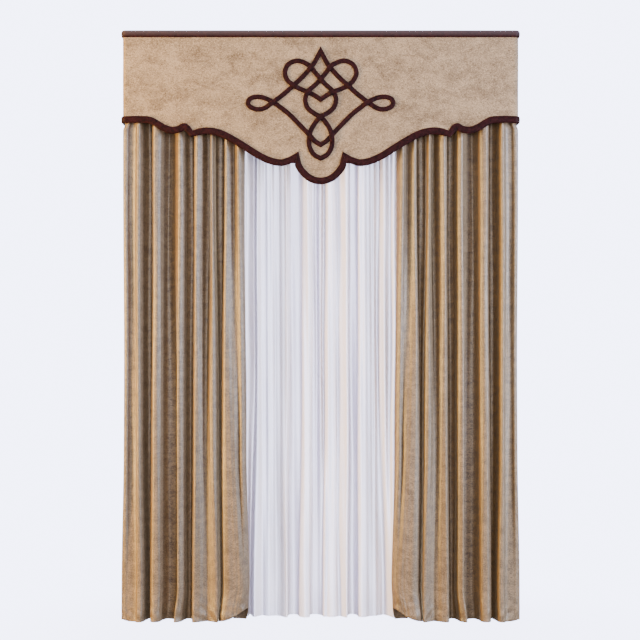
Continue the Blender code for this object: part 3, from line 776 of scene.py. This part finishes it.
def add_band(name, node, line, first_seam, last_seam, mirror=False):
    """One piece of the lower band from its left half line, mirrored to the right where asked."""
    path, sides = band_between(line, first_seam, last_seam)
    if mirror:
        path = flipped(path)
        sides = sides[::-1] * np.array([-1.0, 1.0])
    rings = sweep_rings(path, sides, BAND_SECTION, BAND_WIDTH, BAND_HEIGHT)
    points, faces = skin(rings)
    make_piece(name, points, faces, BAND_VELVET, [node])


FAR_SEAM = tuple((-x, z) for x, z in LOBE_SEAM)
add_band("band_left_outer", "bottom_band_left_outer", OUTER_LINE, None, SIDE_SEAM)
add_band("band_left_middle", "bottom_band_left_middle", MIDDLE_LINE, SIDE_SEAM, LOBE_SEAM)
add_band("band_centre_lobe", "bottom_band_centre", CENTRE_LINE, LOBE_SEAM, FAR_SEAM)
add_band("band_right_middle", "bottom_band_right_middle", MIDDLE_LINE, SIDE_SEAM, LOBE_SEAM, mirror=True)
add_band("band_right_outer", "bottom_band_right_outer", OUTER_LINE, None, SIDE_SEAM, mirror=True)

# %% [markdown]
# ## Knot
# Two closed cords interlace, each going over and under in turn. The lines are drawn once for the left half
# and mirrored, the crossings are found by intersecting them, and a cord rises by a little more than its own
# height wherever it passes over.

# %% Knot tables (x, z in millimetres, left half)
OUTER_CORD = [
    (0, -105), (-33, -165.5), (-53, -191.5), (-91, -234), (-133.5, -274.5), (-184, -319), (-237, -360.5),
    (-283, -390), (-319, -395.5), (-352, -383), (-363, -363.5), (-350, -341), (-314.5, -333), (-277, -340.5),
    (-237, -360.5), (-195, -390), (-154, -423), (-110.5, -467), (-59, -521.5), (-30, -553), (0, -573),
]
INNER_CORD = [
    (0, -346.5), (-30, -326), (-64.5, -309), (-99, -295), (-138, -276), (-168, -246), (-178.5, -211.5),
    (-163, -173), (-125, -153.5), (-87.5, -159.5), (-53, -180), (-27, -212), (0, -246), (30, -276),
    (61, -305), (76, -337.5), (74, -368), (59, -395), (30, -417), (0, -434), (-27, -463), (-49, -502),
    (-58, -545), (-54, -586), (-33, -622), (0, -640.5),
]
CORD_WIDTH = 24.0
CORD_HEIGHT = 7.0
CORD_LIFT = 7.4
CORD_RAMP = 18.0
CORD_STEP = 4.0
LEAST_SINE = 0.1
SAME_CROSSING = 4.0
CLEAR_OF_ITSELF = 40.0

# %% Find the crossings


def closed_cord(left):
    """The whole closed line of a cord from its left half."""
    line = drawn(left)
    return np.vstack([line, flipped(line)[1:-1]])


def crossings(first, second):
    """Where two closed lines cross: (length on first, length on second, sine, cosine of the angle)."""
    same = first is second
    run_a = run_lengths(np.vstack([first, first[:1]]))
    run_b = run_lengths(np.vstack([second, second[:1]]))
    steps_b = np.roll(second, -1, axis=0) - second
    found = []
    for i, start in enumerate(first):
        step = first[(i + 1) % len(first)] - start
        turn = step[0] * steps_b[:, 1] - step[1] * steps_b[:, 0]
        sizes = np.linalg.norm(step) * np.linalg.norm(steps_b, axis=1)
        turn = np.where(np.abs(turn) < LEAST_SINE * sizes, np.nan, turn)
        off = second - start
        t = (off[:, 0] * steps_b[:, 1] - off[:, 1] * steps_b[:, 0]) / turn
        u = (off[:, 0] * step[1] - off[:, 1] * step[0]) / turn
        for j in np.nonzero((t > -1e-6) & (t < 1 + 1e-6) & (u > -1e-6) & (u < 1 + 1e-6))[0]:
            a = run_a[i] + t[j] * np.linalg.norm(step)
            b = run_b[j] + u[j] * np.linalg.norm(steps_b[j])
            if same and (b - a < CLEAR_OF_ITSELF or run_a[-1] - b + a < CLEAR_OF_ITSELF):
                continue
            if any(abs(a - p) < SAME_CROSSING and abs(b - q) < SAME_CROSSING for p, q, _, _ in found):
                continue
            cosine = abs(float(np.dot(step, steps_b[j]))) / sizes[j]
            found.append((a, b, abs(turn[j]) / sizes[j], cosine))
    return found


outer_cord = closed_cord(OUTER_CORD)
inner_cord = closed_cord(INNER_CORD)
between = crossings(outer_cord, inner_cord)
outer_passes = [(a, s, c) for a, _, s, c in between]
outer_passes += [(k[n], k[2], k[3]) for k in crossings(outer_cord, outer_cord) for n in (0, 1)]
inner_passes = [(b, s, c) for _, b, s, c in between]
inner_passes += [(k[n], k[2], k[3]) for k in crossings(inner_cord, inner_cord) for n in (0, 1)]
print("passes on the outer cord", len(outer_passes), "and on the inner", len(inner_passes))

# %% Lay the cords
CORD_SECTION = plump_section(13, 0.7)
CORNER_DEGREES = 30
CORNER_ROOM = 2.0
OVER_ROOM = 1.5


def corner_lengths(closed):
    """Lengths at which the closed line has a sharp corner, with the room that the mitre needs."""
    steps = np.diff(closed, axis=0)
    steps /= np.linalg.norm(steps, axis=1, keepdims=True)
    turn = np.arccos(np.clip(np.sum(np.roll(steps, 1, axis=0) * steps, axis=1), -1, 1))
    along = run_lengths(closed)
    sharp = np.nonzero(turn > math.radians(CORNER_DEGREES))[0]
    return [(along[k], CORD_WIDTH / 2 * math.tan(turn[k] / 2) + CORNER_ROOM) for k in sharp]


def way_round(lengths, spot, total):
    """Distance of each length from a spot on a closed line, by the shorter way."""
    straight = np.abs(lengths - spot)
    return np.minimum(straight, total - straight)


def add_cord(name, node, line, passes, first_over):
    """A closed cord of rounded section that rises at every second pass."""
    closed = np.vstack([line, line[:1]])
    total = run_lengths(closed)[-1]
    over = [p for k, p in enumerate(sorted(passes)) if (k % 2 == 0) == first_over]
    corners = corner_lengths(closed)
    wanted = np.linspace(0, total, int(total / CORD_STEP) + 1)[:-1]
    for length, clear in corners:
        wanted = wanted[way_round(wanted, length, total) > clear]
    wanted = np.sort(np.concatenate([wanted, [c for c, _ in corners if c < total - 1]]))
    lift = np.zeros(len(wanted))
    for length, sine, cosine in over:
        flat = CORD_WIDTH / 2 * (1 + cosine) / sine + OVER_ROOM
        lift = np.maximum(lift, 1 - eased(way_round(wanted, length, total), flat, flat + CORD_RAMP))
    path = at_lengths(closed, wanted)
    sides = across_line(path, True)
    rings = sweep_rings(path, sides, CORD_SECTION, CORD_WIDTH, CORD_HEIGHT, lift * CORD_LIFT)
    points, faces = skin(rings, True)
    make_piece(name, points, faces, BAND_VELVET, [node])


add_cord("knot_outer", "knot_cord_outer", outer_cord, outer_passes, True)
add_cord("knot_inner", "knot_cord_inner", inner_cord, inner_passes, False)

# %% [markdown]
# ## Drapes
# Each drape is one length of velvet in uneven folds: sharp on the left of each crest, easy on the right, with
# narrow dark hollows between. The photograph shows where each fold runs, so the cloth is laid from a table
# of its plan at three heights instead of being simulated, and then loosened: fold lines wander a little,
# faint buckles cross the flanks, and the last hand's breadth breaks on the floor.

# %% Fold table of the left drape
DRAPE_COLUMNS = ("x_top", "fwd_top", "x_mid", "fwd_mid", "x_low", "fwd_low")
DRAPE_FOLDS = [
    (-992, 15, -989, 15, -1001, 14), (-975, 21, -975, 20, -985, 18), (-957, 6, -961, 7, -962, 17),
    (-932, 11, -931, 12, -932, 21), (-919, 35, -918, 36, -915, 37), (-904, 27, -902, 27, -895, 30),
    (-887, -16, -885, -14, -881, -10), (-864, -33, -866, -33, -868, -34), (-838, -16, -847, -15, -852, -16),
    (-843, 16, -850, 16, -855, 16), (-829, 35, -834, 35, -835, 35), (-802, 24, -807, 24, -807, 27),
    (-786, -16, -791, -14, -793, -6), (-766, -32, -765, -32, -766, -32), (-738, -12, -722, -18, -726, -14),
    (-712, 29, -718, 31, -718, 32), (-689, 16, -689, 18, -689, 18), (-674, -22, -676, -22, -675, -22),
    (-648, -34, -656, -34, -660, -34), (-628, -13, -637, -13, -640, -13), (-634, 15, -642, 15, -644, 15),
    (-619, 34, -628, 34, -636, 34), (-596, 12, -603, 22, -606, 26), (-580, -14, -585, 5, -575, 15),
    (-564, -20, -570, 8, -556, 20), (-553, 13, -555, 24, -538, 28), (-545, 33, -539, 34, -519, 34),
    (-533, 16, -521, 20, -511, 20), (-525, -22, -514, -22, -507, -22), (-500, -34, -507, -34, -502, -34),
    (-479, -15, -495, -15, -490, -15), (-483, 14, -498, 15, -493, 15), (-473, 29, -477, 33, -466, 34),
    (-451, 10, -447, 31, -431, 34), (-438, 2, -424, 25, -406, 31), (-425, 18, -410, 13, -389, 26),
    (-411, 33, -398, 22, -375, 20), (-394, 22, -384, 14, -363, 8), (-383, 0, -376, -4, -356, -6),
    (-388, -20, -382, -22, -366, -22), (-414, -32, -408, -33, -396, -34), (-452, -36, -448, -37, -442, -38),
]
TOP_FOLDS_Z = -900.0
MID_FOLDS_Z = -2100.0
LOW_FOLDS_Z = -2860.0
FLOOR_Z = -2963.0
HEADING_Z = -18.3
HEM_Z = FLOOR_Z + 0.5
DRAPE_MEAN_Y = -50.0
DRAPE_THICKNESS = 2.0

# %% [markdown]
# **Loosening.** The rows and the columns of the grid get their own small waves. The heading holds the folds,
# so the waves start below it. On the floor the folds spread, two stretches of the hem lean to the middle,
# and the hem turns up a little at the outer edge and more at the inner corner.

# %% Lay the drape
HELD_Z = -60.0
FREE_Z = -700.0
WANDER_X = 1.6
WANDER_FORWARD = 1.3
FLANK_BUCKLE = 0.9
HEADING_TUCK = 11.0
TUCK_FROM_Z = -463.0
TUCK_TO_Z = -495.0
BREAK_Z = -2800.0
FOOT_SPREAD = 10.0
HEM_LEANS = ((22.0, 33.0, 4.5), (16.0, 15.0, 2.5))
TURN_UP_Z = -2560.0
INNER_TURN = 62.0
OUTER_TURN = 10.0


def rows_down(rough_step, fine_from, fine_step):
    """Heights from the heading to the floor, closer together near the floor."""
    upper = np.arange(HEADING_Z, fine_from, -rough_step)
    lower = np.arange(fine_from, FLOOR_Z, -fine_step)
    return np.concatenate([upper, lower, [FLOOR_Z]])


def drape_plan(z):
    """Stations (x, forward) of the fold section at height z."""
    table = dict(zip(DRAPE_COLUMNS, np.array(DRAPE_FOLDS, float).T))
    middle = eased(z, TOP_FOLDS_Z, MID_FOLDS_Z)
    low = eased(z, MID_FOLDS_Z, LOW_FOLDS_Z)
    plan = []
    for part in ("x", "fwd"):
        top, mid, foot = (table[f"{part}_{level}"] for level in ("top", "mid", "low"))
        plan.append(top + middle * (mid - top) + low * (foot - mid))
    return np.stack(plan, axis=1)


def lay_drape(rows, columns):
    """Grid of points of the left drape, rows from the top down. u counts stations of the fold table."""
    u = np.linspace(0, len(DRAPE_FOLDS) - 1, columns)
    outer_edge = 1 - eased(u, 0.5, 4.5)
    lean = sum(shift * np.exp(-(((u - station) / spread) ** 2)) for shift, station, spread in HEM_LEANS)
    inner_turn = INNER_TURN * eased(u, 30.5, 37.5) * (1 - eased(u, 38.2, 39.4))
    turned_up = np.maximum(inner_turn, OUTER_TURN * (1 - eased(u, 0, 2.5)))
    grid = []
    for z in rows:
        x, fwd = through(drape_plan(z), u).T
        free = eased(z, HELD_Z, FREE_Z)
        x = x + free * WANDER_X * np.sin(z / 310 + 0.7 * u)
        fwd = fwd + free * WANDER_FORWARD * np.sin(z / 190 + 1.9 * u)
        patchy = 0.6 + 0.4 * np.sin(z / 520 + 1.7 * u)
        fwd = fwd + free * FLANK_BUCKLE * np.sin(7.3 * u + 1.6 * np.sin(z / 340)) * patchy
        x = x + HEADING_TUCK * (1 - eased(z, TUCK_FROM_Z, TUCK_TO_Z)) * outer_edge
        broken = eased(z, BREAK_Z, FLOOR_Z)
        rumpled = broken * (1.6 * np.sin(z / 9 + 2.1 * u) + 1.1 * np.sin(z / 17 - 1.3 * u))
        spread_out = FOOT_SPREAD * broken * np.maximum(0, fwd) / 35
        y = DRAPE_MEAN_Y - fwd - spread_out + rumpled * eased(fwd, -30, 20)
        height = np.maximum(z + turned_up * eased(z, TURN_UP_Z, FLOOR_Z), HEM_Z)
        grid.append(np.stack([x - lean * broken, y, height], axis=1))
    return np.array(grid)


print("drape plan of", len(DRAPE_FOLDS), "stations")

# %% Hang the drapes
DRAPE_POINTS = 281


def cloth_width(grid):
    """Mean length of the rows of a grid, which is the width the cloth was cut to."""
    return float(np.linalg.norm(np.diff(grid, axis=1), axis=2).sum(axis=1).mean())


def hang_cloth(name, node, grid, material, thickness=None):
    """A sheet from a grid, with its own width and length as UV, thickened where it is heavy cloth."""
    rows, columns = grid.shape[:2]
    index = np.arange(rows * columns).reshape(rows, columns)
    corners = [index[:-1, :-1], index[1:, :-1], index[1:, 1:], index[:-1, 1:]]
    quads = np.stack(corners, axis=-1).reshape(-1, 4)
    width = cloth_width(grid)
    u = np.broadcast_to(np.linspace(0, width, columns), (rows, columns))
    v = np.broadcast_to(grid[:, :1, 2], (rows, columns))
    uv = np.stack([u, v], axis=-1).reshape(-1, 2)
    piece = make_piece(name, grid.reshape(-1, 3), quads.tolist(), material, [node], uv)
    if thickness:
        thick = piece.modifiers.new("Cloth thickness", "SOLIDIFY")
        thick.thickness = thickness * MM
        thick.offset = 0.0
    print(name, "cut width", round(width * MM, 2), "m")


tuck_rows = np.arange(-462, -498, -6)
drape_rows = np.unique(np.concatenate([rows_down(24, -2700, 6), tuck_rows]))[::-1]
left = lay_drape(drape_rows, DRAPE_POINTS)
right = left[:, ::-1].copy()
right[..., 0] *= -1
hang_cloth("velvet_drape_left", "drape_left", left, DRAPE_VELVET, DRAPE_THICKNESS)
hang_cloth("velvet_drape_right", "drape_right", right, DRAPE_VELVET, DRAPE_THICKNESS)

# %% [markdown]
# ## Sheer
# The voile hangs behind the drapes right across the window. Where it shows, the table gives its soft folds;
# behind the drapes it runs in plain even ones. Fine ripples run over the folds and fade further down, where
# the folds deepen.

# %% Fold table of the sheer
SHEER_COLUMNS = ("x_top", "fwd_top", "x_low", "fwd_low")
SHEER_FOLDS = [
    (-384, 6, -384, 6), (-372, 6, -372, 6), (-341, -16, -362, -16), (-323, 14, -336, 14),
    (-295, -2, -300, -2), (-259, 4, -269, 4), (-223, -2, -223, -2), (-187, 15, -187, 15),
    (-171, 20, -171, 20), (-164, -8, -163, -8), (-136, -15, -141, -15), (-100, -8, -116, -8),
    (-88, 10, -108, 10), (-70, 19, -85, 19), (-48, 14, -59, 15), (-41, -8, -54, -8),
    (-18, -14, -26, -15), (-1, 3, 2, -10), (15, -12, 9, -2), (30, 8, 17, 13), (48, 15, 28, 10),
    (79, 4, 63, 15), (92, 0, 94, 6), (120, 17, 120, 16), (138, 20, 136, 20), (145, -8, 143, -8),
    (166, -16, 166, -15), (185, -4, 186, -4), (192, 12, 193, 12), (217, 17, 220, 17),
    (256, 4, 256, 6), (276, 0, 284, 2), (294, -10, 304, -6), (307, 6, 325, -10), (330, 14, 345, 4),
    (353, 0, 361, 14), (376, 14, 376, 17),
]
SHEER_FULLNESS = 1.55
SHEER_EDGE_X = 962.0
SHEER_SHOWN_X = 414.0
SHEER_PLAIN_PITCH = 84.0
SHEER_PLAIN_DEPTH = 17.0
SHEER_MEAN_Y = 45.0
SHEER_TURN_Z = -1600.0
SHEER_LOW_Z = -2900.0
SHEER_DEEPENING = 0.3
RIPPLE = 1.7
RIPPLE_LOSS = 1.1

# %% Lay the sheer


def plain_folds(start, end):
    """Stations of even folds, two to a fold, for the part that the drapes hide."""
    count = int(round(abs(end - start) / SHEER_PLAIN_PITCH * 2))
    rows = []
    for k in range(count + 1):
        x = start + (end - start) * k / count
        fwd = SHEER_PLAIN_DEPTH * (1 if k % 2 else -1) * (1.0 - 0.12 * math.sin(2.4 * k))
        rows.append((x, fwd, x, fwd))
    return rows


def lay_sheer(rows, per_station):
    """Grid of points of the sheer, rows from the top down, with some points to each station."""
    stations = plain_folds(-SHEER_EDGE_X, -SHEER_SHOWN_X) + SHEER_FOLDS
    stations += plain_folds(SHEER_SHOWN_X, SHEER_EDGE_X)
    table = dict(zip(SHEER_COLUMNS, np.array(stations, float).T))
    u = np.linspace(0, len(stations) - 1, (len(stations) - 1) * per_station + 1)
    grid = []
    for z in rows:
        low = eased(z, SHEER_TURN_Z, SHEER_LOW_Z)
        x = table["x_top"] + low * (table["x_low"] - table["x_top"])
        fwd = table["fwd_top"] + low * (table["fwd_low"] - table["fwd_top"])
        x, fwd = through(np.stack([x, fwd], axis=1), u).T
        free = eased(z, HELD_Z, FREE_Z)
        x = x + free * 2.0 * np.sin(z / 270 + 0.9 * u)
        fwd = fwd + free * 1.5 * np.sin(z / 150 + 1.7 * u)
        ripples = free * (RIPPLE - RIPPLE_LOSS * low) * np.sin(x / 4.6 + 2.3 * np.sin(x / 41) + z / 700)
        fwd = fwd * (1 + SHEER_DEEPENING * low) + ripples
        y = SHEER_MEAN_Y - SHEER_FULLNESS * fwd
        grid.append(np.stack([x, y, np.full(len(u), max(z, HEM_Z))], axis=1))
    return np.array(grid)


sheer_rows = rows_down(40, -2700, 15)
hang_cloth("voile_sheer", "sheer", lay_sheer(sheer_rows, 8), voile)

# %% [markdown]
# ## Floor
# A pale floor catches the soft shadow of the hems. It fades out a few metres away, so that no horizon cuts
# across the picture.

# %% Floor
FLOOR_REACH = 3.2
FLOOR_CENTRE_Y = -0.4
FLOOR_SIDES = 96
FLOOR_SHADE = (0.86, 0.865, 0.88)
FADE_CENTRE = (0, 0.2, 0)
FADE_STRETCH = (0.55, 1, 0)
FADE_FROM = 0.35
FADE_TO = 1.1
FLOOR_SHOWN = 0.16

floor_mesh = bpy.data.meshes.new("Pale floor")
angles = np.linspace(0, 2 * math.pi, FLOOR_SIDES + 1)[:-1]
rim = [(FLOOR_REACH * math.cos(a), FLOOR_REACH * math.sin(a) + FLOOR_CENTRE_Y, FLOOR_Z * MM) for a in angles]
floor_mesh.from_pydata(rim, [], [tuple(range(FLOOR_SIDES))])
floor = add_object("Pale floor", floor_mesh)

pale, tree, shader = new_material("Pale floor")
shader.inputs["Base Color"].default_value = (*FLOOR_SHADE, 1)
shader.inputs["Roughness"].default_value = 0.9
shader.inputs["Specular IOR Level"].default_value = 0.1
level = tree.nodes.new("ShaderNodeMapping")
level.inputs["Location"].default_value = FADE_CENTRE
level.inputs["Scale"].default_value = FADE_STRETCH
tree.links.new(tree.nodes.new("ShaderNodeTexCoord").outputs["Object"], level.inputs["Vector"])
distance = tree.nodes.new("ShaderNodeVectorMath")
distance.operation = "LENGTH"
tree.links.new(level.outputs["Vector"], distance.inputs[0])
fade = tree.nodes.new("ShaderNodeMapRange")
fade.interpolation_type = "SMOOTHSTEP"
fade.inputs["From Min"].default_value = FADE_FROM
fade.inputs["From Max"].default_value = FADE_TO
fade.inputs["To Min"].default_value = FLOOR_SHOWN
fade.inputs["To Max"].default_value = 0.0
tree.links.new(distance.outputs["Value"], fade.inputs["Value"])
tree.links.new(fade.outputs["Result"], shader.inputs["Alpha"])
floor_mesh.materials.append(pale)
print("floor reach", FLOOR_REACH, "m")
